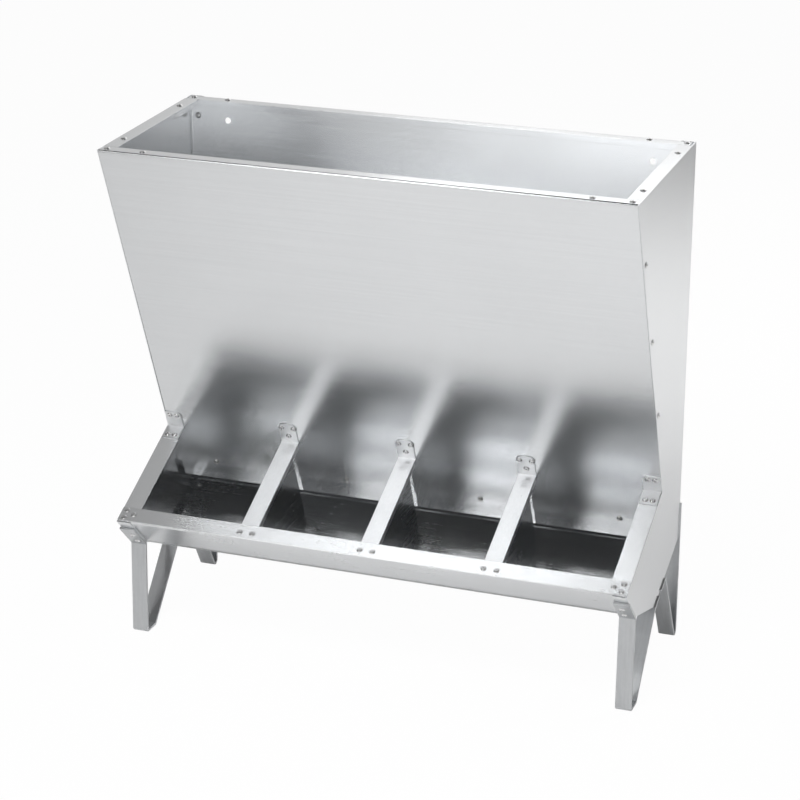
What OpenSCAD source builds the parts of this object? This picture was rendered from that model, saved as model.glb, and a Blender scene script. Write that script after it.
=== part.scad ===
// Hopper feeder for piglets with four feeding places, in galvanised steel sheet.
// The back is at +Y, the feeding side at -Y. The feet stand on z = 0.
// In the profile functions a point is [y, z].

/* [Hopper] */
// Length over the outer faces of the side panels
length = 800; // [700:10:1000]
// Height of the rim above the floor
height = 795; // [760:5:900]
// Depth from the front of the rim to the back
depth = 333; // [310:1:380]
// Thickness of the sheet
sheet = 1.5; // [1:0.25:2]
// Width of the flange round the rim
rim_w = 22; // [21:1:30]
// Height of the turned-down edge of the rim
rim_drop = 10; // [6:1:14]
// Outer radius of the folds that show
fold_r = 3; // [2.5:0.5:5]
// Length of the legs of the corner plates under the rim
plate_l = 80; // [75:1:110]
// Width of the legs of the corner plates
plate_w = 12; // [11:0.5:14]
// Distance of the corner plates from the outer faces
plate_in = 5; // [4.75:0.25:5.5]
// Width of the flanges that join the front panel to the side panels
side_lap = 24; // [22:1:30]
// Gap between the back panel and the side panels
corner_gap = 3; // [1:0.5:4]

/* [Wall holes] */
// Diameter of the holes for hanging the feeder on a wall
wall_hole_d = 10; // [6:0.5:14]
// Distance of the wall holes from the sides
wall_hole_in = 63; // [45:1:100]
// Distance of the wall holes below the rim
wall_hole_down = 35; // [25:1:80]

/* [Feeding side] */
// Height of the throat, where the bars meet the front panel
throat_z = 293; // [275:1:310]
// Distance of the throat from the back
throat_d = 125; // [110:1:140]
// Height of the lip
lip_z = 207.5; // [200:0.5:216]
// Distance of the lip from the back
lip_d = 321.5; // [310:0.5:330]
// Width of the lip
lip_w = 30; // [28:1:34]
// Width of the end bars
end_bar_w = 29; // [28:0.5:32]
// Width of the crossbars
bar_w = 28; // [28:0.5:34]
// Height of the turned-down edges of the bars
bar_drop = 10; // [6:1:14]
// Height of the tabs of the crossbars on the front panel
bar_tab = 36; // [34:1:46]
// Length of each leg of the end tabs
end_tab = 29; // [28:1:36]
// Width of the flange on top of the dividers
divider_flange = 12; // [8:0.5:12]
// Gap between the dividers and the front panel
divider_back = 5.5; // [3:0.5:6]

/* [Trough] */
// Height of the trough's front bend
front_bend_z = 150.5; // [145:0.5:157]
// Distance of the trough's front bend from the back
front_bend_d = 263.5; // [255:0.5:270]
// Height of the lowest bend of the trough
low_bend_z = 112.5; // [104:0.5:118]
// Distance of the lowest bend from the back
low_bend_d = 143.5; // [136:0.5:150]
// Height of the bend at the back
rear_bend_z = 167.5; // [160:0.5:176]
// Width of the flanges folded in along the ends
end_flange_w = 22; // [20:1:26]
// Length of the back panel's flange on the trough
trough_lap = 26; // [22:1:30]

/* [Gate] */
// Length of the front panel below the throat
panel_drop = 78; // [70:1:84]
// Width of the gate along the slope
gate_w = 100; // [90:1:104]
// Length of the gate that shows below the front panel when open
gate_show = 32; // [26:1:36]
// Travel of the gate from open to closed
gate_travel = 45; // [30:1:46]
// Gap between the gate and the side panels
gate_end_gap = 8; // [6:0.5:14]
// Diameter of the gate bolts
bolt_d = 5; // [4:0.5:6]
// Distance of the gate bolts from the sides
bolt_in = 70; // [50:1:110]
// Height of the gate bolts above the front panel's edge
bolt_up = 7; // [6.5:0.25:10]
// Length of the bolts that stands out of the nuts
bolt_out = 3; // [2:0.5:5]
// Running gap on each face of the gate and round its bolts
run_gap = 0.3; // [0.25:0.05:0.5]

/* [Legs] */
// Width of the leg straps
leg_w = 25; // [22:0.5:26]
// Thickness of the leg straps
leg_t = 4; // [3:0.25:5]
// Inner radius of the bends of the legs
leg_r = 2; // [1:0.25:2.5]
// Distance of the front feet's front from the back
front_foot_d = 274; // [266:1:280]
// Length of the front feet
front_foot = 34; // [28:1:40]
// Length of the rear feet
rear_foot = 15; // [15:1:28]
// Distance the legs stand out past the side panels
leg_out = 2; // [0:0.5:5]
// Distance of the front legs' upper ends below the lip
leg_top_gap = 23; // [20:1:26]
// Height of the rear legs' ends above the rear bend
rear_leg_up = 55; // [50:1:60]
// Distance down the rear slope where the rear legs' front strands meet it
rear_leg_meet = 88; // [82:1:92]
// Length of the legs' tabs under the rear slope
leg_tab = 30; // [24:1:31]

/* [Rivets] */
// Diameter of the rivets' shanks
rivet_d = 4.8; // [4:0.2:5]
// Diameter of the rivets' heads
head_d = 9.5; // [8:0.25:10]
// Height of the rivets' heads
head_h = 1.8; // [1.4:0.1:2.2]
// Diameter of the rivets' closed ends
tail_d = 7; // [6.5:0.25:7]
// Height of the rivets' closed ends
tail_h = 2.5; // [2:0.1:3]
// Radial gap between a shank and its hole
hole_gap = 0.1; // [0.05:0.05:0.2]

/* [Hidden] */
$fn = 48;

// Finishes
GALVANISED = [0.78, 0.79, 0.80];
DULL_STEEL = [0.58, 0.59, 0.60];
ZINC = [0.68, 0.68, 0.66];

// Overall frame: the box of the whole feeder is centred on x = 0 and y = 0
half = length / 2;
back_y = (depth - leg_t - head_h) / 2;
front_y = back_y - depth;

// Corners of the end profile
rim_front = [front_y, height];
throat = [back_y - throat_d, throat_z];
lip = [back_y - lip_d, lip_z];
front_bend = [back_y - front_bend_d, front_bend_z];
low_bend = [back_y - low_bend_d, low_bend_z];
rear_bend = [back_y, rear_bend_z];

// Directions of the sloped faces, and their tilts for placing pieces on them
down_panel = unit(throat - rim_front);
up_throat = unit(throat - lip);
down_face = unit(front_bend - lip);
down_slope = unit(low_bend - rear_bend);
panel_tilt = atan2(-down_panel[1], -down_panel[0]);
throat_tilt = atan2(up_throat[1], up_throat[0]);
face_tilt = atan2(-down_face[1], -down_face[0]);
slope_tilt = atan2(down_slope[1], down_slope[0]);
throat_l = norm(throat - lip);
face_l = norm(front_bend - lip);
slope_l = norm(low_bend - rear_bend);

// Places along the front panel, from its top edge
throat_s = norm(throat - rim_front);
panel_s = throat_s + panel_drop;
gate_s = panel_s + gate_show;
bolt_s = panel_s - bolt_up;

// Feeding places and the crossbars between them
places = 4;
bar_pitch = (length - end_bar_w - 2 * sheet) / places;
bar_x = [-bar_pitch, 0, bar_pitch];
bar_start = 9;
bar_edge_gap = 3;
divider_gap = 0.5;

// Small parts
butt_gap = 1;
arc_steps = 4;
rivet_edge = 13;
rivet_row = 20;
side_lap_top = 30;
side_rivet_s = [115, 257.5, 400];
back_rivet_rows = 5;
back_rivet_down = 31;
back_rivet_gap = 45;
end_rivet_edge = 9;
end_rivet_front = 10;
end_rivet_back = 5;
end_rivet_inner = 6.5;
tab_rivet_top = 9;
tab_rivet_low = 11;
end_tab_rivet = 7;
end_bar_rivet = 8;
face_rivet_at = [0.35, 0.76];
rear_rivet_end = 12;
tab_clip = 5;
slot_play = 0.5;
bolt_head_d = 9.5;
bolt_head_h = 2.8;
washer_d = 10;
washer_t = 1;
nut_w = 8;
nut_h = 4;
washer_seat = -2 * sheet - 2 * run_gap;
nut_seat = washer_seat - washer_t;

// Rivet places: [x, distance along the face]
side_pair = [-1, 1];
plate_mid = plate_in + plate_w / 2;
plate_far = plate_l - rivet_edge;
lip_bar_places = [for (x = bar_x, side = side_pair) [x + side * rivet_row / 2, lip_w / 2]];
lip_end_places = [
  for (side = side_pair, p = [
    [end_rivet_edge, end_rivet_front],
    [end_rivet_edge, lip_w - end_rivet_back],
    [end_bar_w - end_rivet_inner, (end_rivet_front + lip_w - end_rivet_back) / 2]
  ]) [side * (half - p[0]), p[1]]
];
bar_tab_places = [
  for (x = bar_x, p = [
    [-rivet_row / 2, tab_rivet_top - bar_tab],
    [rivet_row / 2, tab_rivet_top - bar_tab],
    [0, -tab_rivet_low]
  ]) [x + p[0], throat_s + p[1]]
];
end_tab_x = half - end_bar_w / 2;
end_tab_pitch = 11.5;
end_panel_places = [
  for (side = side_pair, i = side_pair)
    [side * end_tab_x + i * end_tab_pitch / 2, throat_s - end_tab + end_tab_rivet]
];
end_bar_places = [
  for (side = side_pair, i = side_pair)
    [side * end_tab_x + i * end_tab_pitch / 2, throat_l - end_tab + end_bar_rivet]
];
leg_x = half - rivet_edge;
face_places = [
  for (side = side_pair, k = face_rivet_at)
    [side * leg_x, leg_top_gap + k * (face_l - leg_top_gap)]
];
rear_tab_s = rear_leg_meet + leg_tab - rivet_edge;
front_tab_l = 0.8 * leg_tab;
front_tab_s = slope_l - front_tab_l / 2;
slope_places = [for (side = side_pair, s = [rear_tab_s, front_tab_s]) [side * leg_x, s]];
lap_end_places = [for (side = side_pair) [side * leg_x, trough_lap + rivet_edge + butt_gap]];
lap_mid_places = [for (x = bar_x) [x, rivet_edge]];
back_rivet_top = height - back_rivet_down;
back_rivet_low = rear_bend_z + rear_leg_up + back_rivet_gap;
back_rivet_step = (back_rivet_top - back_rivet_low) / (back_rivet_rows - 1);
back_places = [
  for (side = side_pair, i = [0:back_rivet_rows - 1])
    [side * leg_x, back_rivet_top - i * back_rivet_step]
];
rear_leg_places = [
  for (side = side_pair, z = [rivet_row, rear_leg_up - rear_rivet_end])
    [side * leg_x, rear_bend_z + z]
];
bolt_pitch = (length - 2 * bolt_in) / 3;
bolt_places = [for (i = [0:3]) [i * bolt_pitch - half + bolt_in, bolt_s]];

// Vector and outline functions
function unit(v) = v / norm(v);
function left_of(v) = [-v[1], v[0]];
function cross_point(p, d, q, e) = p + d * ((q - p) * left_of(e)) / (d * left_of(e));

// Point of the front panel's plane at s from the top edge, h in front of its face
function on_panel_line(s, h) = rim_front + down_panel * s - left_of(down_panel) * h;

// Point of the throat plane at s from the lip, h above it
function on_throat_line(s, h) = lip + up_throat * s + left_of(up_throat) * h;

// Side line of a bent sheet, t to the left of the path
function side_point(p, i, t) =
  let (
    last = len(p) - 1,
    a = left_of(unit(p[max(i, 1)] - p[max(i, 1) - 1])),
    b = left_of(unit(p[min(i + 1, last)] - p[min(i + 1, last) - 1]))
  ) p[i] + t * (a + b) / (1 + a * b);
function side_line(p, t) = [for (i = [0:len(p) - 1]) side_point(p, i, t)];
function bent(p, t) = concat(p, [for (i = [len(p) - 1:-1:0]) side_point(p, i, t)]);

// Arc of radius r in the corner b between a and c
function corner_arc(a, b, c, r) =
  let (
    u = unit(a - b),
    w = unit(c - b),
    half_angle = acos(u * w) / 2,
    centre = b + unit(u + w) * r / sin(half_angle),
    from = b + u * r / tan(half_angle) - centre,
    to = b + w * r / tan(half_angle) - centre,
    start = atan2(from[1], from[0]),
    turn = atan2(from[0] * to[1] - from[1] * to[0], from * to)
  ) [
    for (i = [0:arc_steps])
      let (a = start + turn * i / arc_steps) centre + r * [cos(a), sin(a)]
  ];
function rounded(p, r) = [
  p[0],
  for (i = [1:len(p) - 2]) each corner_arc(p[i - 1], p[i], p[i + 1], is_list(r) ? r[i - 1] : r),
  p[len(p) - 1]
];

// Profile outline extruded along x
module along_x(x0, x1, outline) {
  translate([x0, 0, 0]) rotate([90, 0, 90]) linear_extrude(x1 - x0) polygon(outline);
}

// Local frames on the faces: x along the feeder, z out of the face
module on_panel(p) {
  translate([0, rim_front[0], rim_front[1]]) rotate([panel_tilt, 0, 0])
    translate([p[0], -p[1], 0]) children();
}

module on_throat(p) {
  translate([0, lip[0], lip[1]]) rotate([throat_tilt, 0, 0])
    translate([p[0], p[1], 0]) children();
}

module on_face(p) {
  translate([0, lip[0], lip[1]]) rotate([face_tilt, 0, 0])
    translate([p[0], -p[1], 0]) children();
}

module on_slope(p) {
  translate([0, rear_bend[0], rear_bend[1]]) rotate([slope_tilt, 0, 0])
    translate([p[0], p[1], 0]) children();
}

module on_back(p) {
  translate([p[0], back_y, p[1]]) rotate([-90, 0, 0]) children();
}

module on_side(side, p) {
  translate([side * half, p[0], p[1]]) rotate([0, side * 90, 0]) children();
}

module on_rim(p) {
  translate([p[0], p[1], height]) children();
}

// Blind rivet with its head on z = 0, through a stack of sheets of the given grip
module rivet(grip) {
  hollow_r = rivet_d / 4;
  hollow_h = head_h / 2;
  rotate_extrude()
    polygon([
      [0, hollow_h], [hollow_r, hollow_h], [hollow_r, head_h], [head_d / 4, head_h],
      [head_d * 0.42, head_h * 0.6], [head_d / 2, 0], [rivet_d / 2, 0], [rivet_d / 2, -grip],
      [tail_d / 2, -grip], [tail_d / 2, -grip - tail_h / 2],
      [tail_d / 4, -grip - tail_h], [0, -grip - tail_h]
    ]);
}

module rivet_hole() {
  cylinder(h = 12, d = rivet_d + 2 * hole_gap, center = true);
}

// Rivets and holes on the rim, three in each corner
rim_places = [
  for (side = side_pair, end = [[front_y, 1], [back_y, -1]])
    each [
      [side * (half - plate_mid), end[0] + end[1] * plate_mid],
      [side * (half - plate_far), end[0] + end[1] * plate_mid],
      [side * (half - plate_mid), end[0] + end[1] * plate_far]
    ]
];

// Turned-down edge of a rim flange that runs along x
module rim_edge(y) {
  reach = half - rim_w - butt_gap;
  translate([-reach, y, height - rim_drop]) cube([2 * reach, sheet, rim_drop - sheet / 2]);
}

// Upright back sheet: rim flange on top, a flange on the trough below, two wall holes
module back_panel() {
  reach = half - sheet - corner_gap;
  slope_start = rear_bend - left_of(down_slope) * 2 * sheet;
  bend = cross_point([back_y - sheet, 0], [0, 1], slope_start, down_slope);
  path = [
    [back_y - rim_w, height], [back_y - sheet, height], bend, bend + down_slope * trough_lap
  ];
  color(GALVANISED) difference() {
    union() {
      along_x(-reach, reach, bent(rounded(path, fold_r), -sheet));
      rim_edge(back_y - rim_w);
    }
    for (p = concat(back_places, rear_leg_places)) on_back(p) rivet_hole();
    for (p = lap_mid_places) on_slope(p) rivet_hole();
    for (p = rim_places) on_rim(p) rivet_hole();
    for (side = side_pair)
      on_back([side * (half - wall_hole_in), height - wall_hole_down])
        cylinder(h = 12, d = wall_hole_d, center = true);
  }
}

// Flat end sheet at +X with all its flanges folded in
module side_panel() {
  low_throat = on_throat_line(0, -sheet);
  front_top = cross_point(low_throat, up_throat, lip, down_face);
  throat_corner = cross_point(low_throat, up_throat, throat, down_panel);
  edge = [front_top, front_bend, low_bend, rear_bend, [back_y, height]];
  bar_end = 5;
  bar_edge_start = lip_w + 2 * butt_gap;
  bar_reach = throat_l - butt_gap;
  rim_start = front_y + rim_w + butt_gap;
  rim_reach = depth - 2 * rim_w - 2 * butt_gap;
  color(GALVANISED) difference() {
    union() {
      along_x(half - sheet, half, concat(edge, [rim_front, throat_corner]));
      along_x(half - end_flange_w, half, bent(edge, sheet));
      on_throat([half - end_bar_w, bar_end]) translate([0, 0, -2 * sheet])
        cube([end_bar_w, bar_reach - bar_end, sheet]);
      on_throat([half - end_bar_w, bar_edge_start]) translate([0, 0, -sheet - bar_drop])
        cube([sheet, bar_reach - bar_edge_start, bar_drop]);
      translate([half - rim_w, rim_start, height - sheet]) cube([rim_w, rim_reach, sheet]);
      translate([half - rim_w, rim_start, height - rim_drop]) cube([sheet, rim_reach, rim_drop]);
    }
    for (s = side_rivet_s) on_side(1, on_panel_line(s, -side_lap / 2)) rivet_hole();
    for (p = concat(back_places, rear_leg_places)) on_back(p) rivet_hole();
    for (p = concat(slope_places, lap_end_places)) on_slope(p) rivet_hole();
    for (p = face_places) on_face(p) rivet_hole();
    for (p = concat(lip_end_places, end_bar_places)) on_throat(p) rivet_hole();
    for (p = rim_places) on_rim(p) rivet_hole();
  }
}

// Sloped front sheet: rim flange on top, flanges folded back along both ends
module front_panel() {
  reach = half - sheet;
  path = [[front_y + rim_w, height], rim_front, on_panel_line(panel_s, 0)];
  lap_end = panel_s - bolt_up;
  lap = [
    on_panel_line(side_lap_top, -sheet / 2), on_panel_line(lap_end, -sheet / 2),
    on_panel_line(lap_end, -side_lap), on_panel_line(side_lap_top, -side_lap)
  ];
  color(GALVANISED) difference() {
    union() {
      along_x(-reach, reach, bent(rounded(path, fold_r), sheet));
      rim_edge(front_y + rim_w - sheet);
      along_x(-reach, -reach + sheet, lap);
      along_x(reach - sheet, reach, lap);
    }
    for (side = side_pair, s = side_rivet_s) on_side(side, on_panel_line(s, -side_lap / 2)) rivet_hole();
    for (p = concat(bar_tab_places, end_panel_places)) on_panel(p) rivet_hole();
    for (p = bolt_places) on_panel(p) cylinder(h = 12, d = bolt_d + 2 * run_gap, center = true);
    for (p = rim_places) on_rim(p) rivet_hole();
  }
}

// Bent sheet of the trough: rear slope, floor, front face and the lip folded back on top
module trough() {
  reach = half - sheet;
  inner = side_line([lip, front_bend, low_bend, rear_bend], sheet);
  slope_top = cross_point([back_y - sheet - butt_gap, 0], [0, 1], inner[2], down_slope);
  lip_corner = cross_point(inner[1], down_face, lip, up_throat);
  fold = rounded([inner[1], lip_corner, lip_corner + up_throat * lip_w], fold_r);
  body = concat([slope_top, inner[2]], fold);
  color(DULL_STEEL) difference() {
    union() {
      along_x(-reach, reach, bent(body, -sheet));
      on_throat([-half, fold_r + sheet]) translate([0, 0, -sheet])
        cube([length, lip_w - fold_r - sheet, sheet]);
    }
    for (p = concat(slope_places, lap_end_places, lap_mid_places)) on_slope(p) rivet_hole();
    for (p = face_places) on_face(p) rivet_hole();
    for (p = concat(lip_bar_places, lip_end_places)) on_throat(p) rivet_hole();
  }
}

// L-shaped plate under one corner of the rim; side and end give the corner
module corner_plate(side, end) {
  corner_y = end < 0 ? front_y : back_y;
  color(ZINC) difference() {
    translate([side * half, corner_y, height - 2 * sheet]) mirror([side > 0 ? 1 : 0, 0, 0])
      mirror([0, end > 0 ? 1 : 0, 0]) translate([plate_in, plate_in, 0]) {
        cube([plate_l, plate_w, sheet]);
        cube([plate_w, plate_l, sheet]);
      }
    for (p = rim_places) on_rim(p) rivet_hole();
  }
}

// Strip over the trough between two places, riveted under the lip, its tab turned up on the front panel
module crossbar(x) {
  low = on_throat_line(bar_start, -2 * sheet);
  corner = cross_point(low, up_throat, throat, down_panel);
  path = [low, corner, on_panel_line(throat_s - bar_tab, 0)];
  edge_start = lip_w + 2 * butt_gap;
  edge_l = throat_l - edge_start - bar_edge_gap - fold_r;
  color(GALVANISED) difference() {
    union() {
      along_x(x - bar_w / 2, x + bar_w / 2, bent(rounded(path, fold_r), sheet));
      for (side = side_pair)
        on_throat([x + side * (bar_w - sheet) / 2, edge_start])
          translate([-sheet / 2, 0, -sheet - bar_drop])
          cube([sheet, edge_l, bar_drop]);
    }
    for (side = side_pair)
      on_panel([x + side * bar_w / 2, throat_s - bar_tab]) rotate([0, 0, 45])
        cube([tab_clip * sqrt(2), tab_clip * sqrt(2), 12], center = true);
    for (p = bar_tab_places) on_panel(p) rivet_hole();
    for (p = lip_bar_places) on_throat(p) rivet_hole();
  }
}

// Plate under a crossbar that parts two places, with a flange welded under the bar
module divider(x) {
  inner = side_line([lip, front_bend, low_bend, rear_bend], 2 * sheet + divider_gap);
  top = on_throat_line(0, -2.5 * sheet);
  rear = on_panel_line(0, divider_back);
  outline = [
    cross_point(top, up_throat, inner[1], down_face), inner[1], inner[2],
    cross_point(rear, down_panel, inner[2], down_slope), cross_point(top, up_throat, rear, down_panel)
  ];
  flange_start = lip_w / 2 + tail_d / 2 + butt_gap;
  color(GALVANISED) {
    along_x(x - sheet / 2, x + sheet / 2, outline);
    on_throat([x - sheet / 2, flange_start]) translate([0, 0, -3 * sheet])
      cube([divider_flange, throat_l - flange_start - 2 * fold_r, sheet]);
  }
}

// Bent plate that joins an end bar to the front panel
module end_tab_plate(side) {
  low = on_throat_line(throat_l - end_tab, -sheet);
  corner = cross_point(low, up_throat, throat, down_panel);
  path = [low, corner, on_panel_line(throat_s - end_tab, 0)];
  w = end_bar_w - 2 * butt_gap;
  x = side * end_tab_x;
  color(GALVANISED) difference() {
    along_x(x - w / 2, x + w / 2, bent(rounded(path, fold_r), sheet));
    on_panel([x - side * w / 2, throat_s - end_tab]) rotate([0, 0, 45])
      cube([tab_clip * sqrt(2), tab_clip * sqrt(2), 12], center = true);
    for (p = end_panel_places) on_panel(p) rivet_hole();
    for (p = end_bar_places) on_throat(p) rivet_hole();
  }
}

// Slotted strip behind the front panel that sets the feed gap
module feed_gate() {
  reach = half - gate_end_gap;
  slot_d = bolt_d + 2 * run_gap;
  slot_l = gate_travel + 2 * slot_play;
  color(GALVANISED) difference() {
    on_panel([-reach, gate_s]) translate([0, 0, -run_gap - 2 * sheet]) cube([2 * reach, gate_w, sheet]);
    for (p = bolt_places)
      on_panel([p[0], p[1] + slot_play]) {
        cylinder(h = 12, d = slot_d, center = true);
        translate([0, slot_l, 0]) cylinder(h = 12, d = slot_d, center = true);
        translate([-slot_d / 2, 0, -6]) cube([slot_d, slot_l, 12]);
      }
  }
}

// Round-headed bolts through the front panel and the gate's slots, heads in front
module gate_bolts() {
  tip = nut_seat - nut_h - bolt_out;
  color(ZINC) for (p = bolt_places)
    on_panel(p) rotate_extrude()
      polygon([
        [0, tip], [bolt_d / 2 - 0.8, tip], [bolt_d / 2, tip + 0.8], [bolt_d / 2, 0],
        [bolt_head_d / 2, 0], [bolt_head_d * 0.47, bolt_head_h * 0.4],
        [bolt_head_d * 0.38, bolt_head_h * 0.74], [bolt_head_d * 0.22, bolt_head_h * 0.94],
        [0, bolt_head_h]
      ]);
}

// Washers on the gate's rear face
module gate_washers() {
  color(ZINC) for (p = bolt_places)
    on_panel(p) translate([0, 0, nut_seat]) difference() {
      cylinder(h = washer_t, d = washer_d);
      translate([0, 0, -1]) cylinder(h = washer_t + 2, d = bolt_d + 2 * run_gap);
    }
}

// Nuts behind the washers
module gate_nuts() {
  color(ZINC) for (p = bolt_places)
    on_panel(p) translate([0, 0, nut_seat - nut_h]) difference() {
      cylinder(h = nut_h, d = nut_w / cos(30), $fn = 6);
      translate([0, 0, -1]) cylinder(h = nut_h + 2, d = bolt_d + 2 * hole_gap);
    }
}

// Flat bar bent along an inner path, on one end of the feeder
module leg(side, path, radii, t, holes_on) {
  x0 = side > 0 ? half + leg_out - leg_w : -half - leg_out;
  color(GALVANISED) difference() {
    along_x(x0, x0 + leg_w, bent(rounded(path, radii), t));
    for (p = slope_places) on_slope(p) rivet_hole();
    if (holes_on == "face")
      for (p = face_places) on_face(p) rivet_hole();
    else
      for (p = rear_leg_places) on_back(p) rivet_hole();
  }
}

// Front leg: on the trough's front face, down to the foot and up under the lowest bend
module leg_front(side) {
  foot_y = back_y - front_foot_d;
  path = [
    lip + down_face * leg_top_gap, front_bend, [foot_y + leg_t, leg_t],
    [foot_y + front_foot - leg_t, leg_t], low_bend, low_bend - down_slope * front_tab_l
  ];
  leg(side, path, [leg_r + leg_t, leg_r, leg_r, leg_r + leg_t], -leg_t, "face");
}

// Rear leg: on the back, straight down to the round foot and up under the rear slope
module leg_rear(side) {
  foot_r = 0.6 * (rear_foot - 2 * leg_t);
  meet = rear_bend + down_slope * rear_leg_meet;
  path = [
    [back_y, rear_bend_z + rear_leg_up], [back_y, leg_t], [back_y - rear_foot + 2 * leg_t, leg_t],
    meet, meet + down_slope * leg_tab
  ];
  leg(side, path, [foot_r, foot_r, leg_r + leg_t], leg_t, "back");
}

// Rivets through the rim flanges and the corner plates
module rim_rivets() {
  color(ZINC) for (p = rim_places) on_rim(p) rivet(2 * sheet);
}

// Rivets through the side panels and the front panel's flanges
module side_rivets() {
  color(ZINC) for (side = side_pair, s = side_rivet_s)
    on_side(side, on_panel_line(s, -side_lap / 2)) rivet(2 * sheet);
}

// Rivets through the back panel and the side panels' rear flanges, heads inside
module back_rivets() {
  color(ZINC) for (p = back_places)
    on_back(p) translate([0, 0, -2 * sheet]) rotate([180, 0, 0]) rivet(2 * sheet);
}

// Rivets through the trough and the back panel's or the side panels' lower flanges, heads inside
module lap_rivets() {
  color(ZINC) {
    for (p = lap_end_places)
      on_slope(p) translate([0, 0, -2 * sheet]) rotate([180, 0, 0]) rivet(2 * sheet);
    for (p = lap_mid_places)
      on_slope(p) translate([0, 0, -3 * sheet]) rotate([180, 0, 0]) rivet(2 * sheet);
  }
}

// Rivets through the lip and the bars under it
module lip_rivets() {
  color(ZINC) for (p = concat(lip_bar_places, lip_end_places)) on_throat(p) rivet(2 * sheet);
}

// Rivets through the tabs of the bars
module tab_rivets() {
  color(ZINC) {
    for (p = concat(bar_tab_places, end_panel_places))
      on_panel(p) translate([0, 0, sheet]) rivet(2 * sheet);
    for (p = end_bar_places) on_throat(p) rivet(2 * sheet);
  }
}

// Rivets through the legs, the side panels' flanges and the trough or the back
module leg_rivets() {
  color(ZINC) {
    for (p = face_places) on_face(p) translate([0, 0, leg_t]) rivet(leg_t + 2 * sheet);
    for (p = slope_places) on_slope(p) translate([0, 0, leg_t]) rivet(leg_t + 2 * sheet);
    for (p = rear_leg_places) on_back(p) translate([0, 0, leg_t]) rivet(leg_t + 2 * sheet);
  }
}

back_panel();
mirror([1, 0, 0]) side_panel();  // side_panel_left
side_panel();  // side_panel_right
front_panel();
trough();
corner_plate(-1, -1);  // corner_plate_front_left
corner_plate(1, -1);  // corner_plate_front_right
corner_plate(-1, 1);  // corner_plate_rear_left
corner_plate(1, 1);  // corner_plate_rear_right
crossbar(bar_x[0]);  // crossbar_left
crossbar(bar_x[1]);  // crossbar_middle
crossbar(bar_x[2]);  // crossbar_right
divider(bar_x[0]);  // divider_left
divider(bar_x[1]);  // divider_middle
divider(bar_x[2]);  // divider_right
end_tab_plate(-1);  // end_tab_left
end_tab_plate(1);  // end_tab_right
feed_gate();
gate_bolts();
gate_washers();
gate_nuts();
leg_front(-1);  // leg_front_left
leg_front(1);  // leg_front_right
leg_rear(-1);  // leg_rear_left
leg_rear(1);  // leg_rear_right
rim_rivets();
side_rivets();
back_rivets();
lap_rivets();
lip_rivets();
tab_rivets();
leg_rivets();
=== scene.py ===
import math

import bmesh
import bpy
from mathutils import Matrix, Vector


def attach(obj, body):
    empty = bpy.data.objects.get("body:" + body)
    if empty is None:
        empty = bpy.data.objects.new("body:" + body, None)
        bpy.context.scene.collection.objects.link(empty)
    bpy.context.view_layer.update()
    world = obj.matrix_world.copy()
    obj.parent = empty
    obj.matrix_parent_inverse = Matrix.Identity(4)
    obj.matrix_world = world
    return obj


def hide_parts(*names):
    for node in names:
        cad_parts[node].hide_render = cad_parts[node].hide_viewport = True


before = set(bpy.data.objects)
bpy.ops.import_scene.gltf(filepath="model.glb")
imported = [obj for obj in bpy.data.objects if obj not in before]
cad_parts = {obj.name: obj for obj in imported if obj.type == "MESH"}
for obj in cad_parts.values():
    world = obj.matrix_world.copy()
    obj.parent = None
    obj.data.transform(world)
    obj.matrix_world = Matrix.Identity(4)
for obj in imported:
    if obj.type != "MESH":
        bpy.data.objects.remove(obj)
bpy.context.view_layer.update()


# Back panel: one upright sheet of galvanised steel with the rim folded forward at the top and a flange
# folded in at the foot, where it lies on the trough. It is sheared, punched and bent on a press brake.
# Its cut edges are slightly eased, and the zinc shows rolling lines and small crystals.

class Tone:
    """A socket of a node tree: arithmetic on it adds Math nodes, and node() adds any other node."""

    def __init__(self, tree, socket):
        self.tree = tree
        self.socket = socket

    def node(self, kind, settings, sockets, out=0):
        made = self.tree.nodes.new(kind)
        for name, value in settings.items():
            setattr(made, name, value)
        for name, value in sockets.items():
            if isinstance(value, Tone):
                self.tree.links.new(value.socket, made.inputs[name])
            else:
                made.inputs[name].default_value = value
        return Tone(self.tree, made.outputs[out])

    def maths(self, operation, first, second=0.0):
        return self.node("ShaderNodeMath", {"operation": operation}, {0: first, 1: second})

    def __add__(self, other):
        return self.maths("ADD", self, other)

    def __radd__(self, other):
        return self.maths("ADD", other, self)

    def __sub__(self, other):
        return self.maths("SUBTRACT", self, other)

    def __rsub__(self, other):
        return self.maths("SUBTRACT", other, self)

    def __mul__(self, other):
        return self.maths("MULTIPLY", self, other)

    def __rmul__(self, other):
        return self.maths("MULTIPLY", other, self)

    def __truediv__(self, other):
        return self.maths("DIVIDE", self, other)

    def __rtruediv__(self, other):
        return self.maths("DIVIDE", other, self)


crystal_scale, haze_scale, wave_scale = 230.0, 9.0, 3.2
wave_height, line_height, line_strength = 0.0010, 0.00002, 0.10


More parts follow.
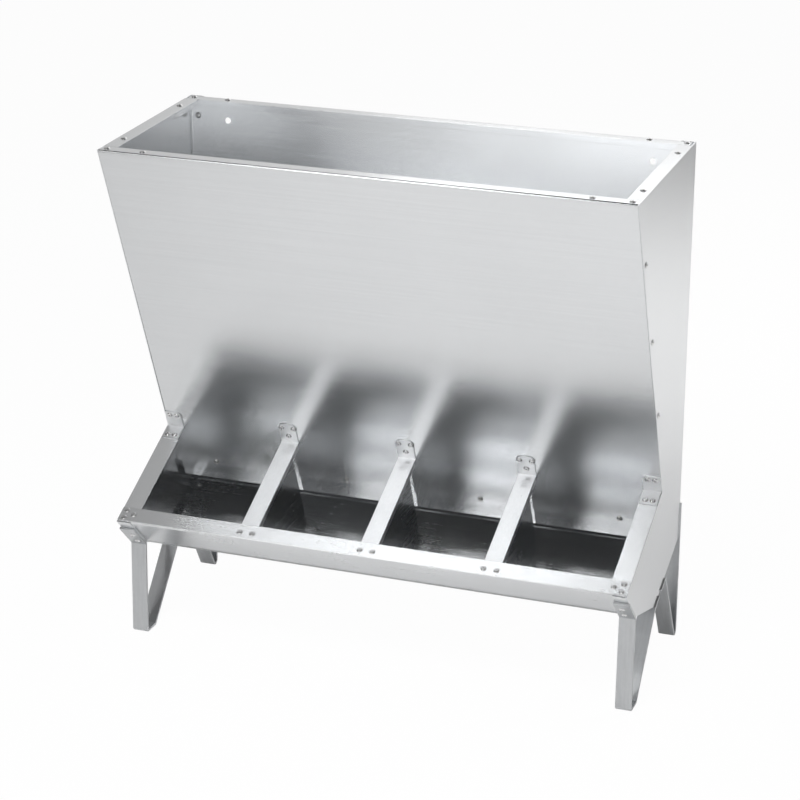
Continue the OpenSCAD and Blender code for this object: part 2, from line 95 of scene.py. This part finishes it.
def galvanised(name, dull, bright, rough, rolled, shift):
    """Zinc-coated steel: rolling lines along one way, small crystals, a soft haze and a slight wave."""
    finish = bpy.data.materials.new(name)
    finish.use_nodes = True
    tree = finish.node_tree
    shader = tree.nodes["Principled BSDF"]
    shader.inputs["Metallic"].default_value = 1.0
    at = Tone(tree, tree.nodes.new("ShaderNodeTexCoord").outputs["Object"])
    here = at.node("ShaderNodeMapping", {}, {"Vector": at, "Location": shift})
    along = at.node("ShaderNodeMapping", {}, {"Vector": here, "Scale": rolled})
    lines = at.node("ShaderNodeTexNoise", {}, {
        "Vector": along, "Scale": 1.0, "Detail": 3.0, "Roughness": 0.5})
    cells = at.node("ShaderNodeTexVoronoi", {}, {"Vector": here, "Scale": crystal_scale}, "Position")
    crystal = at.node("ShaderNodeTexWhiteNoise", {}, {"Vector": cells}, "Value")
    haze = at.node("ShaderNodeTexNoise", {}, {
        "Vector": here, "Scale": haze_scale, "Detail": 4.0, "Roughness": 0.55})
    wave = at.node("ShaderNodeTexNoise", {}, {
        "Vector": here, "Scale": wave_scale, "Detail": 1.0, "Roughness": 0.4})
    shade = 0.08 * crystal + 0.57 * lines + 0.35 * haze
    tint = at.node("ShaderNodeMix", {"data_type": "RGBA"}, {
        0: shade, 6: (*dull, 1.0), 7: (*bright, 1.0)}, 2)
    gloss = rough + (haze - 0.5) * 0.08 + (crystal - 0.5) * 0.01 + (lines - 0.5) * 0.06
    waved = at.node("ShaderNodeBump", {}, {"Strength": 1.0, "Distance": wave_height, "Height": wave})
    relief = at.node("ShaderNodeBump", {}, {
        "Strength": line_strength, "Distance": line_height, "Height": lines, "Normal": waved})
    tree.links.new(tint.socket, shader.inputs["Base Color"])
    tree.links.new(gloss.socket, shader.inputs["Roughness"])
    tree.links.new(relief.socket, shader.inputs["Normal"])
    return finish


def plain_mesh(piece):
    """The piece's mesh with its modifiers worked in."""
    ready = piece.evaluated_get(bpy.context.evaluated_depsgraph_get())
    return bpy.data.meshes.new_from_object(ready)


weld_gap, shortest_edge = 0.000005, 0.0012
flat_within, edge_over, smooth_under = math.radians(0.3), math.radians(55), math.radians(42)


def eased(node, ease):
    """The node's own solid with its corners and cut edges rounded and its flat faces shaded flat."""
    work = bmesh.new()
    work.from_mesh(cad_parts[node].data)
    bmesh.ops.remove_doubles(work, verts=work.verts, dist=weld_gap)
    bmesh.ops.dissolve_limit(work, angle_limit=flat_within, verts=work.verts, edges=work.edges)
    weight = work.edges.layers.float.new("bevel_weight_edge")
    for edge in work.edges:
        if edge.is_manifold and edge.calc_face_angle() > edge_over and edge.calc_length() > shortest_edge:
            edge[weight] = 1.0
    mesh = bpy.data.meshes.new(node + "_eased")
    work.to_mesh(mesh)
    work.free()
    if "custom_normal" in mesh.attributes:
        mesh.attributes.remove(mesh.attributes["custom_normal"])
    mesh.materials.clear()
    piece = bpy.data.objects.new(node + "_eased", mesh)
    bpy.context.scene.collection.objects.link(piece)
    rounding = piece.modifiers.new("rounding", "BEVEL")
    rounding.limit_method = "WEIGHT"
    rounding.width = ease
    rounding.segments = 2
    rounding.use_clamp_overlap = False
    piece.data = plain_mesh(piece)
    piece.modifiers.clear()
    piece.data.shade_smooth()
    piece.data.set_sharp_from_angle(angle=smooth_under)
    flats = piece.modifiers.new("flats", "WEIGHTED_NORMAL")
    flats.keep_sharp = True
    piece.data = plain_mesh(piece)
    piece.modifiers.clear()
    return piece


def fit(piece, finish, body, slot, *nodes):
    """Gives a piece its finish and lets it stand for its nodes on their body."""
    piece.data.materials.clear()
    piece.data.materials.append(finish)
    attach(piece, body)
    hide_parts(*nodes)


sheet_dull = (0.71, 0.72, 0.73)
sheet_bright = (0.87, 0.88, 0.89)
sheet_rough = 0.22
sheet_ease = 0.0004
rolled_along = (3, 400, 400)
back_finish = galvanised("back_sheet_zinc", sheet_dull, sheet_bright, sheet_rough, rolled_along, (0, 0, 0))
fit(eased("back_panel", sheet_ease), back_finish, "frame", "galvanised_sheet", "back_panel")


# Side panels: the two flat ends of the hopper, each with its rim flange, rear flange, lower flange and end
# bar folded in from one blank of the same sheet. Their rolling lines run up the panel.

rolled_upright = (400, 400, 3)
side_finish = galvanised(
    "side_sheet_zinc", sheet_dull, sheet_bright, sheet_rough, rolled_upright, (1.7, 0.4, 0))
for side in ("left", "right"):
    panel = "side_panel_" + side
    fit(eased(panel, sheet_ease), side_finish, "frame", "galvanised_sheet", panel)


# Front panel: the sloped sheet that the feed slides down, rim folded back and a lap folded back on each
# side for the rivets. It is the largest sheet, so the slight wave of the rolled steel shows most in it.

front_finish = galvanised(
    "front_sheet_zinc", sheet_dull, sheet_bright, sheet_rough, rolled_along, (0.3, 2.1, 0))
fit(eased("front_panel", sheet_ease), front_finish, "frame", "galvanised_sheet", "front_panel")


# Corner plates: small L-shaped plates of sheet under the rim, one in each corner, that tie the flanges of
# two panels together with three rivets.

corners = ("front_left", "front_right", "rear_left", "rear_right")
plate_ease = 0.0003
for corner in corners:
    plate = "corner_plate_" + corner
    fit(eased(plate, plate_ease), side_finish, "frame", "galvanised_sheet", plate)


# Trough: one long sheet bent three times into a rear slope, a floor, a sloped face and the lip folded back
# on top. Its zinc is tinted a little darker and is rougher than the panels'.

trough_dull = (0.68, 0.69, 0.70)
trough_bright = (0.85, 0.86, 0.87)
trough_rough = 0.26
trough_finish = galvanised(
    "trough_zinc", trough_dull, trough_bright, trough_rough, rolled_along, (0, 0.8, 1.1))
fit(eased("trough", sheet_ease), trough_finish, "frame", "galvanised_sheet", "trough")


# Dividers: three plates that split the trough into four places, cut to the trough's profile, with a narrow
# flange turned over along the top and welded under the crossbars.

# The dividers' zinc is tinted much darker than the trough's sheet: painted shade of the trough they stand
# in.
divider_painted_shade_dull = (0.48, 0.49, 0.50)
divider_painted_shade_bright = (0.64, 0.65, 0.66)
rolled_deep = (400, 3, 400)
divider_painted_shade_finish = galvanised(
    "divider_zinc_painted_shade", divider_painted_shade_dull, divider_painted_shade_bright, trough_rough, rolled_deep, (2.2, 0, 0.6))
for place in ("left", "middle", "right"):
    plate = "divider_" + place
    fit(eased(plate, sheet_ease), divider_painted_shade_finish, "frame", "galvanised_sheet", plate)


# Crossbars: three channels of sheet from the lip up to the front panel, edges turned down and the upper end
# turned up into a tab with clipped corners.

bar_rough, bar_ease = 0.30, 0.0005
bar_rolled = (400, 6, 400)
bar_finish = galvanised("bar_zinc", sheet_dull, sheet_bright, bar_rough, bar_rolled, (0.9, 1.3, 0))
for place in ("left", "middle", "right"):
    bar = "crossbar_" + place
    fit(eased(bar, bar_ease), bar_finish, "frame", "galvanised_sheet", bar)


# End tabs: two small bent plates of the same sheet that join the side panels' end bars to the front panel.
# Each is riveted to the bar at one end and to the panel at the other.

for side in ("left", "right"):
    tab = "end_tab_" + side
    fit(eased(tab, sheet_ease), bar_finish, "frame", "galvanised_sheet", tab)


# Feed gate: a long slotted strip behind the lower edge of the front panel. It slides up and down on four
# bolts to set how much feed runs out. Its zinc is smoother, and its brighter tint is a painted sheen.

# The gate's tint is brighter than the panels' sheet: a painted sheen.
gate_painted_sheen_dull = (0.76, 0.77, 0.78)
gate_painted_sheen_bright = (0.90, 0.91, 0.92)
gate_rough = 0.16
gate_painted_sheen_finish = galvanised("gate_zinc_painted_sheen", gate_painted_sheen_dull, gate_painted_sheen_bright, gate_rough, rolled_along, (1.2, 0.2, 0.9))
fit(eased("feed_gate", sheet_ease), gate_painted_sheen_finish, "gate", "galvanised_sheet", "feed_gate")


# Legs: four straps of galvanised flat bar, each bent to a V with a foot. They are riveted to the trough, and
# the rear ones to the back too. The coat is duller than the sheet's, and the rolled edges are rounder.

leg_dull = (0.46, 0.47, 0.48)
leg_bright = (0.66, 0.67, 0.68)
leg_rough, leg_ease = 0.32, 0.0008
leg_rolled = (300, 20, 20)
leg_finish = galvanised("leg_zinc", leg_dull, leg_bright, leg_rough, leg_rolled, (0.5, 0.5, 0.5))
for corner in corners:
    leg = "leg_" + corner
    fit(eased(leg, leg_ease), leg_finish, "frame", "galvanised_strap", leg)


# Gate bolts, washers and nuts: four sets of zinc-plated M5 hardware through the front panel and the gate's
# slots. Each bolt has its round head on the panel, and its threaded end, washer and nut behind the gate.

cloud_scale, pit_scale = 260.0, 1800.0
pit_height, pit_strength = 0.00002, 0.4


def plated(name, dull, bright, rough):
    """Turned or pressed steel with a thin bright plating, a little cloudy and finely pitted."""
    finish = bpy.data.materials.new(name)
    finish.use_nodes = True
    tree = finish.node_tree
    shader = tree.nodes["Principled BSDF"]
    shader.inputs["Metallic"].default_value = 1.0
    at = Tone(tree, tree.nodes.new("ShaderNodeTexCoord").outputs["Object"])
    cloud = at.node("ShaderNodeTexNoise", {}, {"Vector": at, "Scale": cloud_scale, "Detail": 3.0})
    pits = at.node("ShaderNodeTexNoise", {}, {"Vector": at, "Scale": pit_scale, "Detail": 2.0})
    tint = at.node("ShaderNodeMix", {"data_type": "RGBA"}, {
        0: cloud, 6: (*dull, 1.0), 7: (*bright, 1.0)}, 2)
    gloss = rough + (cloud - 0.5) * 0.16
    relief = at.node("ShaderNodeBump", {}, {
        "Strength": pit_strength, "Distance": pit_height, "Height": pits})
    tree.links.new(tint.socket, shader.inputs["Base Color"])
    tree.links.new(gloss.socket, shader.inputs["Roughness"])
    tree.links.new(relief.socket, shader.inputs["Normal"])
    return finish


seam_gap, nudge = 0.000004, 0.001


def turned(title, sizes, outline, sides, finish):
    """A Geometry Nodes tree that turns an outline round its axis and sets one such piece on each place."""
    tree = bpy.data.node_groups.new(title, "GeometryNodeTree")
    tree.interface.new_socket(name="places", in_out="INPUT", socket_type="NodeSocketGeometry")
    for size in sizes:
        tree.interface.new_socket(name=size, in_out="INPUT", socket_type="NodeSocketFloat")
    tree.interface.new_socket(name="pieces", in_out="OUTPUT", socket_type="NodeSocketGeometry")
    given = tree.nodes.new("NodeGroupInput")
    places = Tone(tree, given.outputs["places"])
    index = places.node("GeometryNodeInputIndex", {}, {})
    sized = {size: Tone(tree, given.outputs[size]) for size in sizes}
    count = len(outline(sized, None))
    turn = places.maths("FLOOR", index / count + nudge) / sides
    rings = outline(sized, turn)
    ring = places.maths("MODULO", index, count)

    def picked(values):
        switch = tree.nodes.new("GeometryNodeIndexSwitch")
        switch.data_type = "FLOAT"
        while len(switch.index_switch_items) < count:
            switch.index_switch_items.new()
        tree.links.new(ring.socket, switch.inputs[0])
        for spot, value in enumerate(values):
            if isinstance(value, Tone):
                tree.links.new(value.socket, switch.inputs[spot + 1])
            else:
                switch.inputs[spot + 1].default_value = value
        return Tone(tree, switch.outputs[0])

    radius = picked([r for r, h in rings])
    height = picked([h for r, h in rings])
    angle = turn * (2 * math.pi)
    spot = places.node("ShaderNodeCombineXYZ", {}, {
        0: radius * places.maths("COSINE", angle), 1: radius * places.maths("SINE", angle), 2: height})
    grid = places.node("GeometryNodeMeshGrid", {}, {"Vertices X": sides + 1, "Vertices Y": count})
    bent = places.node("GeometryNodeSetPosition", {}, {"Geometry": grid, "Position": spot})
    closed = places.node("GeometryNodeMergeByDistance", {}, {"Geometry": bent, "Distance": seam_gap})
    axis = places.node("GeometryNodeInputNamedAttribute", {"data_type": "FLOAT_VECTOR"}, {"Name": "axis"})
    stand = places.node("FunctionNodeAlignRotationToVector", {"axis": "Z"}, {"Vector": axis})
    spin = places.node("FunctionNodeRandomValue", {"data_type": "FLOAT"}, {2: 0.0, 3: 6.28, "Seed": 7}, 1)
    about = places.node("FunctionNodeEulerToRotation", {}, {
        0: places.node("ShaderNodeCombineXYZ", {}, {2: spin})})
    way = places.node("FunctionNodeRotateRotation", {"rotation_space": "LOCAL"}, {0: stand, 1: about})
    placed = places.node("GeometryNodeInstanceOnPoints", {}, {
        "Points": places, "Instance": closed, "Rotation": way})
    solid = places.node("GeometryNodeRealizeInstances", {}, {"Geometry": placed})
    dressed = places.node("GeometryNodeSetMaterial", {}, {"Geometry": solid, "Material": finish})
    result = tree.nodes.new("NodeGroupOutput")
    tree.links.new(dressed.socket, result.inputs["pieces"])
    return tree


round_under = math.radians(38)


def set_out(name, tree, sizes, places):
    """The tree's pieces at (point, axis) places, as one plain mesh."""
    mesh = bpy.data.meshes.new(name)
    mesh.from_pydata([point for point, axis in places], [], [])
    way = mesh.attributes.new("axis", "FLOAT_VECTOR", "POINT")
    for spot, (point, axis) in enumerate(places):
        way.data[spot].vector = axis
    piece = bpy.data.objects.new(name, mesh)
    bpy.context.scene.collection.objects.link(piece)
    maker = piece.modifiers.new("set out", "NODES")
    maker.node_group = tree
    for item in tree.interface.items_tree:
        if item.in_out == "INPUT" and item.name in sizes:
            maker[item.identifier] = sizes[item.name]
    piece.data = plain_mesh(piece)
    piece.modifiers.clear()
    work = bmesh.new()
    work.from_mesh(piece.data)
    bmesh.ops.recalc_face_normals(work, faces=work.faces)
    work.to_mesh(piece.data)
    work.free()
    piece.data.shade_smooth()
    piece.data.set_sharp_from_angle(angle=round_under)
    return piece


def fix(piece, body, slot, *nodes):
    """Lets a set-out piece, which has its finish, stand for its nodes on their body."""
    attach(piece, body)
    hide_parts(*nodes)


bolt_dull, bolt_bright, bolt_rough = (0.56, 0.56, 0.55), (0.74, 0.74, 0.72), 0.26
bright_zinc = plated("bright_zinc", bolt_dull, bolt_bright, bolt_rough)
front_y, rim_z = -0.1694, 0.795
panel_top = Vector((0, front_y, rim_z))
panel_down = Vector((0, 0.382785, -0.923837))
panel_out = Vector((0, -0.923837, -0.382785))
bolt_row, bolt_columns = 0.61438, (-0.33, -0.11, 0.11, 0.33)
bolt_places = [
    (panel_top + Vector((x, 0, 0)) + panel_down * bolt_row, panel_out) for x in bolt_columns]


threads, root = 8, 0.86


def bolt_outline(size, turn):
    """Rings (radius, height) from the top of the bolt's head to its tip. Its thread shifts with the turn."""
    head, tall, thread = size["head width"] / 2, size["head height"], size["thread width"] / 2
    tip, pitch = size["tip"], size["pitch"]
    rings = [(0.0, tall), (head * 0.24, tall * 0.985), (head * 0.46, tall * 0.93),
             (head * 0.66, tall * 0.82), (head * 0.83, tall * 0.64), (head * 0.94, tall * 0.42),
             (head, tall * 0.16), (head * 0.985, 0.0), (thread, 0.0)]
    start = tip + pitch * threads
    rings.append((thread, start))
    for step in range(2 * threads + 3):
        crest = thread if step % 2 else thread * root
        lift = start - pitch * (step / 2 - 1)
        if turn is not None:
            lift = lift - pitch * turn
        low = tip.maths("MINIMUM", lift, start)
        rings.append((crest, tip.maths("MAXIMUM", low, tip + pitch * 0.3)))
    rings += [(thread * 0.74, tip), (0.0, tip)]
    return rings


def washer_outline(size, turn):
    """Rings (radius, height) round the washer's section."""
    inner, outer, thick, low = size["hole"] / 2, size["width"] / 2, size["thickness"], size["seat"]
    return [(inner, low + thick * 0.1), (inner, low + thick * 0.9), (inner * 1.05, low + thick),
            (outer * 0.96, low + thick), (outer * 0.99, low + thick * 0.85), (outer, low + thick * 0.6),
            (outer, low + thick * 0.1), (outer * 0.99, low), (inner * 1.03, low), (inner, low + thick * 0.1)]


def nut_outline(size, turn):
    """Rings (radius, height) round the nut's section, six-sided with its corners cut at both faces."""
    hole, flat, tall, low = size["hole"] / 2, size["across flats"] / 2, size["height"], size["seat"]
    if turn is None:
        hexagon = flat
    else:
        sixth = flat.maths("MODULO", turn * 6 + 0.5, 1.0) - 0.5
        hexagon = flat / flat.maths("COSINE", sixth * (math.pi / 3))

    def cut(reach):
        return flat.maths("MINIMUM", hexagon, flat * reach)

    return [(hole, low + tall * 0.1), (hole, low + tall * 0.9), (hole * 1.14, low + tall),
            (flat * 0.97, low + tall), (cut(1.06), low + tall * 0.94), (cut(1.20), low + tall * 0.87),
            (cut(1.20), low + tall * 0.13), (cut(1.06), low + tall * 0.06), (flat * 0.97, low),
            (hole * 1.14, low), (hole, low + tall * 0.1)]


bolts = set_out("gate_bolts_turned", turned(
    "gate bolt", ("head width", "head height", "thread width", "tip", "pitch"),
    bolt_outline, sides=40, finish=bright_zinc),
    {"head width": 0.0095, "head height": 0.0028, "thread width": 0.005, "tip": -0.0116, "pitch": 0.0008},
    bolt_places)
fix(bolts, "frame", "zinc_plated_steel", "gate_bolts")
washers = set_out("gate_washers_turned", turned(
    "gate washer", ("hole", "width", "thickness", "seat"), washer_outline, sides=48, finish=bright_zinc),
    {"hole": 0.0056, "width": 0.010, "thickness": 0.001, "seat": -0.0046}, bolt_places)
fix(washers, "frame", "zinc_plated_steel", "gate_washers")
nuts = set_out("gate_nuts_turned", turned(
    "gate nut", ("hole", "across flats", "height", "seat"), nut_outline, sides=72, finish=bright_zinc),
    {"hole": 0.0052, "across flats": 0.008, "height": 0.004, "seat": -0.0086}, bolt_places)
fix(nuts, "frame", "zinc_plated_steel", "gate_nuts")


# Blind rivets: domed steel rivets of 4.8 mm that hold the sheets and straps together. Each has a flat-domed
# head with the broken pin sunk in its middle, and a swollen end on the far side of the sheets.

rivet_dull, rivet_bright, rivet_rough = (0.66, 0.66, 0.66), (0.84, 0.84, 0.84), 0.22
rivet_finish = plated("rivet_steel", rivet_dull, rivet_bright, rivet_rough)


def rivet_outline(size, turn):
    """Rings (radius, height) from the pin in the rivet's head down to its swollen end."""
    head, dome = size["head width"] / 2, size["head height"]
    body, grip = size["body width"] / 2, size["grip"]
    tail, swell = size["tail width"] / 2, size["tail height"]
    below = 0.0 - grip
    return [(0.0, dome * 0.30), (head * 0.17, dome * 0.27), (head * 0.20, dome * 0.15),
            (head * 0.25, dome * 0.15), (head * 0.27, dome * 0.93), (head * 0.36, dome),
            (head * 0.55, dome * 0.95), (head * 0.72, dome * 0.78), (head * 0.87, dome * 0.52),
            (head * 0.97, dome * 0.22), (head, dome * 0.07), (head * 0.985, 0.0),
            (body, 0.0), (body, below), (tail * 0.92, below), (tail, below - swell * 0.2),
            (tail * 0.97, below - swell * 0.5), (tail * 0.76, below - swell * 0.82),
            (tail * 0.45, below - swell), (tail * 0.28, below - swell * 0.98), (0.0, below - swell * 0.9)]


rivet_tree = turned(
    "blind rivet", ("head width", "head height", "body width", "grip", "tail width", "tail height"),
    rivet_outline, sides=24, finish=rivet_finish)


def rivets(name, node, *groups):
    """Rivets of one node from groups of (total thickness that they hold, places), joined into one mesh."""
    whole = None
    for grip, places in groups:
        part = set_out(name, rivet_tree, {
            "head width": 0.0095, "head height": 0.0018, "body width": 0.0048, "grip": grip,
            "tail width": 0.007, "tail height": 0.0025}, places)
        if whole is None:
            whole = part
        else:
            work = bmesh.new()
            work.from_mesh(whole.data)
            work.from_mesh(part.data)
            work.to_mesh(whole.data)
            work.free()
            bpy.data.objects.remove(part)
    fix(whole, "frame", "rivet", node)


def on_plane(origin, along, outward, spots, lift=0.0):
    """Places (point, axis) at (x, distance) spots on a sloped face, lifted off it along its normal."""
    return [(origin + Vector((x, 0, 0)) + along * s + outward * lift, outward) for x, s in spots]


both = (-1, 1)
sheet, strap = 0.0015, 0.004
up = Vector((0, 0, 1))
back_y = 0.1636
rim_places = []
corner_spots = ((0.389, 0.011), (0.333, 0.011), (0.389, 0.067))
for side in both:
    for edge_y, inward in ((front_y, 1), (back_y, -1)):
        for across, deep in corner_spots:
            rim_places.append((Vector((side * across, edge_y + inward * deep, rim_z)), up))
rivets("rim_rivets_set", "rim_rivets", (2 * sheet, rim_places))

end_x, lap_middle = 0.4, 0.012
side_rows = (0.115, 0.2575, 0.4)
side_places = [
    (panel_top + Vector((side * end_x, 0, 0)) + panel_down * row - panel_out * lap_middle,
     Vector((side, 0, 0)))
    for side in both for row in side_rows]
rivets("side_rivets_set", "side_rivets", (2 * sheet, side_places))

leg_middle, back_top, back_step = 0.387, 0.764, 0.124125
back_places = [
    (Vector((side * leg_middle, back_y - 2 * sheet, back_top - row * back_step)), Vector((0, -1, 0)))
    for side in both for row in range(5)]
rivets("back_rivets_set", "back_rivets", (2 * sheet, back_places))

lip = Vector((0, -0.1579, 0.2075))
throat_up = Vector((0, 0.91697, 0.39899))
throat_out = Vector((0, -0.39899, 0.91697))
bars = (-0.192, 0.0, 0.192)
apart, lip_row = 0.010, 0.015
lip_end_spots = ((0.391, 0.010), (0.391, 0.025), (0.3775, 0.0175))
bar_spots = [(bar + side * apart, lip_row) for bar in bars for side in both]
end_spots = [(side * x, s) for side in both for x, s in lip_end_spots]
lip_places = on_plane(lip, throat_up, throat_out, bar_spots + end_spots)
rivets("lip_rivets_set", "lip_rivets", (2 * sheet, lip_places))

tab_row, tab_low_row, end_tab_row, end_bar_row = 0.51638, 0.53238, 0.52138, 0.19329
end_tab_middle, end_tab_apart = 0.3855, 0.00575
bar_tab_spots = ((-apart, tab_row), (apart, tab_row), (0.0, tab_low_row))
tab_spots = [(bar + x, s) for bar in bars for x, s in bar_tab_spots]
end_tab_x = [side * end_tab_middle + step * end_tab_apart for side in both for step in both]
tab_spots += [(x, end_tab_row) for x in end_tab_x]
bar_end_spots = [(x, end_bar_row) for x in end_tab_x]
rivets("tab_rivets_set", "tab_rivets",
       (2 * sheet, on_plane(panel_top, panel_down, panel_out, tab_spots, sheet)),
       (2 * sheet, on_plane(lip, throat_up, throat_out, bar_end_spots)))

face_down = Vector((0, 0.71324, -0.70093))
face_out = Vector((0, -0.70093, -0.71324))
rear_bend = Vector((0, back_y, 0.1675))
slope_down = Vector((0, -0.93376, -0.35789))
slope_out = Vector((0, 0.35789, -0.93376))
face_rows, slope_rows, back_heights = (0.04341, 0.06732), (0.105, 0.14168), (0.1875, 0.2105)
leg_x = [side * leg_middle for side in both]
face_spots = [(x, s) for x in leg_x for s in face_rows]
slope_spots = [(x, s) for x in leg_x for s in slope_rows]
rear_leg_places = [
    (Vector((x, back_y + strap, z)), Vector((0, 1, 0))) for x in leg_x for z in back_heights]
rivets("leg_rivets_set", "leg_rivets",
       (strap + 2 * sheet, on_plane(lip, face_down, face_out, face_spots, strap)),
       (strap + 2 * sheet, on_plane(rear_bend, slope_down, slope_out, slope_spots, strap)),
       (strap + 2 * sheet, rear_leg_places))

lap_end_row, lap_mid_row = 0.040, 0.013
lap_end_spots = [(x, lap_end_row) for x in leg_x]
lap_mid_spots = [(bar, lap_mid_row) for bar in bars]
rivets("lap_rivets_set", "lap_rivets",
       (2 * sheet, on_plane(rear_bend, slope_down, -slope_out, lap_end_spots, 2 * sheet)),
       (2 * sheet, on_plane(rear_bend, slope_down, -slope_out, lap_mid_spots, 3 * sheet)))


# Camera: a long lens where the photograph was taken from, to the right of the feeder's front and looking
# down on it from above the rim. Angles are in radians, and the focal length is in pixels.

azimuth, elevation, roll, distance = 0.338, 0.372, -0.002, 3.8487
pixels, focal, middle = 800, 2557.5, (402.0, 398.9)
backward = Vector((
    math.sin(azimuth) * math.cos(elevation), -math.cos(azimuth) * math.cos(elevation), math.sin(elevation)))
right = (-backward).cross(Vector((0, 0, 1))).normalized()
down = (-backward).cross(right)
aim, aside, lowered = Vector((0, 0.0136, 0.4)), 0.000405, 0.00303
stand = aim + backward * distance + right * aside + down * lowered
across = right * math.cos(roll) + down * math.sin(roll)
upward = right * math.sin(roll) - down * math.cos(roll)
film = 36.0
lens = bpy.data.cameras.new("camera")
lens.sensor_width = film
lens.lens = focal * film / pixels
lens.shift_x = (pixels / 2 - middle[0]) / pixels
lens.shift_y = (middle[1] - pixels / 2) / pixels
camera = bpy.data.objects.new("camera", lens)
camera.matrix_world = Matrix((
    (across.x, upward.x, backward.x, stand.x),
    (across.y, upward.y, backward.y, stand.y),
    (across.z, upward.z, backward.z, stand.z),
    (0, 0, 0, 1)))
bpy.context.scene.collection.objects.link(camera)
bpy.context.scene.camera = camera


# Floor: a flat sheet of matt white paint. The camera sees it nearly pure white with a trace of the feeder's
# shadow, and the metal mirrors mostly the paint as the lamps light it.

def seen(tree, camera_share, metal_share):
    """The share of pure white that rays from the camera, and rays off metal or through glass, see."""
    path = tree.nodes.new("ShaderNodeLightPath")
    metal = Tone(tree, path.outputs["Is Glossy Ray"]) + Tone(tree, path.outputs["Is Transmission Ray"])
    return Tone(tree, path.outputs["Is Camera Ray"]) * camera_share + metal * metal_share


reach, paint_grey = 9, 0.86
floor_mesh = bpy.data.meshes.new("floor")
floor_mesh.from_pydata(
    [(-reach, -reach, 0), (reach, -reach, 0), (reach, reach, 0), (-reach, reach, 0)], [], [(0, 1, 2, 3)])
floor = bpy.data.objects.new("floor", floor_mesh)
bpy.context.scene.collection.objects.link(floor)
floor_paint = bpy.data.materials.new("floor_white")
floor_paint.use_nodes = True
tree = floor_paint.node_tree
tree.nodes.remove(tree.nodes["Principled BSDF"])
matt = tree.nodes.new("ShaderNodeBsdfDiffuse")
matt.inputs["Color"].default_value = (paint_grey, paint_grey, paint_grey, 1)
glow = tree.nodes.new("ShaderNodeEmission")
glow.inputs["Color"].default_value = (1, 1, 1, 1)
both_ways = tree.nodes.new("ShaderNodeMixShader")
tree.links.new(seen(tree, camera_share=0.97, metal_share=0.1).socket, both_ways.inputs[0])
tree.links.new(matt.outputs[0], both_ways.inputs[1])
tree.links.new(glow.outputs[0], both_ways.inputs[2])
tree.links.new(both_ways.outputs[0], tree.nodes["Material Output"].inputs["Surface"])
floor_mesh.materials.append(floor_paint)


# Light: a dark-topped studio. Four soft boxes stand in front and to the left, at heights from low to high,
# with one to the right and two behind. Two lamps overhead light the floor and show in no metal.

studio = bpy.context.scene
studio.view_settings.view_transform = "Standard"
studio.cycles.glossy_bounces = 10
world = bpy.data.worlds.new("studio")
studio.world = world
world.use_nodes = True
tree = world.node_tree
room = tree.nodes["Background"]
room.inputs["Color"].default_value = (1, 1, 1, 1)
path = tree.nodes.new("ShaderNodeLightPath")
way = Tone(tree, tree.nodes.new("ShaderNodeTexCoord").outputs["Generated"])
split = way.node("ShaderNodeSeparateXYZ", {}, {0: way})
split_node = split.socket.node
sideways, rearward, upright = (Tone(tree, split_node.outputs[axis]) for axis in range(3))


def graded(value, start, end, first, last):
    """A smooth change from the first level to the last as the value goes from start to end."""
    return way.node("ShaderNodeMapRange", {"interpolation_type": "SMOOTHSTEP"}, {
        "Value": value, "From Min": start, "From Max": end, "To Min": first, "To Max": last})


rear_wall = graded(rearward, start=-0.1, end=0.4, first=0.35, last=0.8)
left_wall = graded(sideways, start=-0.6, end=-0.25, first=0.5, last=1.0)
walls = rear_wall * left_wall
ceiling = graded(upright, start=0.6, end=0.85, first=1.0, last=0.03)
from_metal = Tone(tree, path.outputs["Is Glossy Ray"]) + Tone(tree, path.outputs["Is Transmission Ray"])
from_camera = Tone(tree, path.outputs["Is Camera Ray"])
elsewhere = 1.0 - from_camera - from_metal
fill = 0.15
level = from_camera + from_metal * walls * ceiling + elsewhere * fill
tree.links.new(level.socket, room.inputs["Strength"])


def soft_box(name, place, target, size, bright):
    """A soft box of a width and height in metres, as bright as given wherever it is seen."""
    lamp = bpy.data.lights.new(name, "AREA")
    lamp.shape = "RECTANGLE"
    lamp.size, lamp.size_y = size
    lamp.energy = bright * math.pi * size[0] * size[1]
    box = bpy.data.objects.new(name, lamp)
    box.location = place
    box.rotation_euler = (Vector(target) - Vector(place)).to_track_quat("-Z", "Y").to_euler()
    bpy.context.scene.collection.objects.link(box)
    return box


middle_height = (0, 0, 0.4)
for name, place, size, bright in (
        ("main_box", (-0.81, -2.63, 2.05), (1.0, 0.42), 5.2),
        ("high_box", (-0.86, -1.77, 2.92), (0.6, 0.45), 8.0),
        ("low_box", (-0.93, -3.04, 0.75), (1.0, 0.6), 2.8),
        ("right_box", (0.70, -2.15, 2.66), (0.7, 1.1), 2.0),
        ("rear_box", (0.05, 2.62, 2.25), (2.2, 1.0), 1.4),
        ("left_rear_box", (-1.22, 0.79, 3.25), (1.4, 1.4), 0.5),
        ("left_box", (-1.67, -2.3, 1.85), (0.9, 0.8), 0.9)):
    soft_box(name, place, middle_height, size, bright)
lamp_size, lamp_spread = (1.0, 1.0), math.radians(80)
for name, place, target, bright in (
        ("front_floor_lamp", (-0.05, -1.6, 2.3), (-0.05, -0.25, 0), 3.1),
        ("rear_floor_lamp", (1.7, 2.0, 2.6), (0.8, 1.5, 0), 3.9)):
    floor_lamp = soft_box(name, place, target, lamp_size, bright)
    floor_lamp.visible_glossy = False
    floor_lamp.data.spread = lamp_spread
